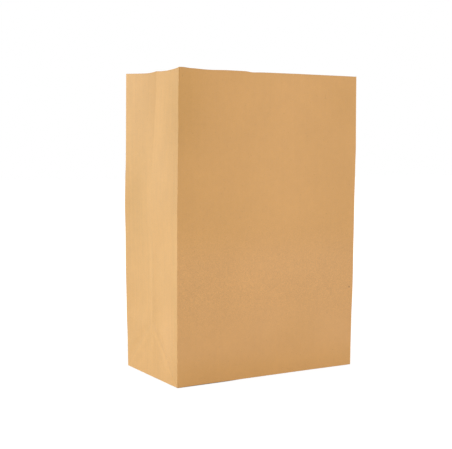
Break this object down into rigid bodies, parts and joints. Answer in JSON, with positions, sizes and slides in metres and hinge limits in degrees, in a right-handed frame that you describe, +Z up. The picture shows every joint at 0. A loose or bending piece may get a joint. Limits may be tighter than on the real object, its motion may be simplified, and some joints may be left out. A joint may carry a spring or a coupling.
{
  "type": "brown paper lunch bag",
  "caption": "Block-bottom brown kraft paper lunch bag standing open and empty, with side gussets, a glued back lap and a folded flat base. Carries food or small goods.",
  "frame": {"origin": "middle of the base, on the surface that the bag stands on", "axes": "+Z up to the open mouth, +X along the wide walls, +Y from the front wall to the back wall, which has the glued lap"},
  "size_m": [0.1852, 0.1022, 0.265],
  "materials": {
    "kraft_paper": "uncoated brown kraft paper, matt, faint fibres and clouding"
  },
  "bodies": {
    "root": {"paper_bag": "kraft_paper"}
  },
  "joints": []
}
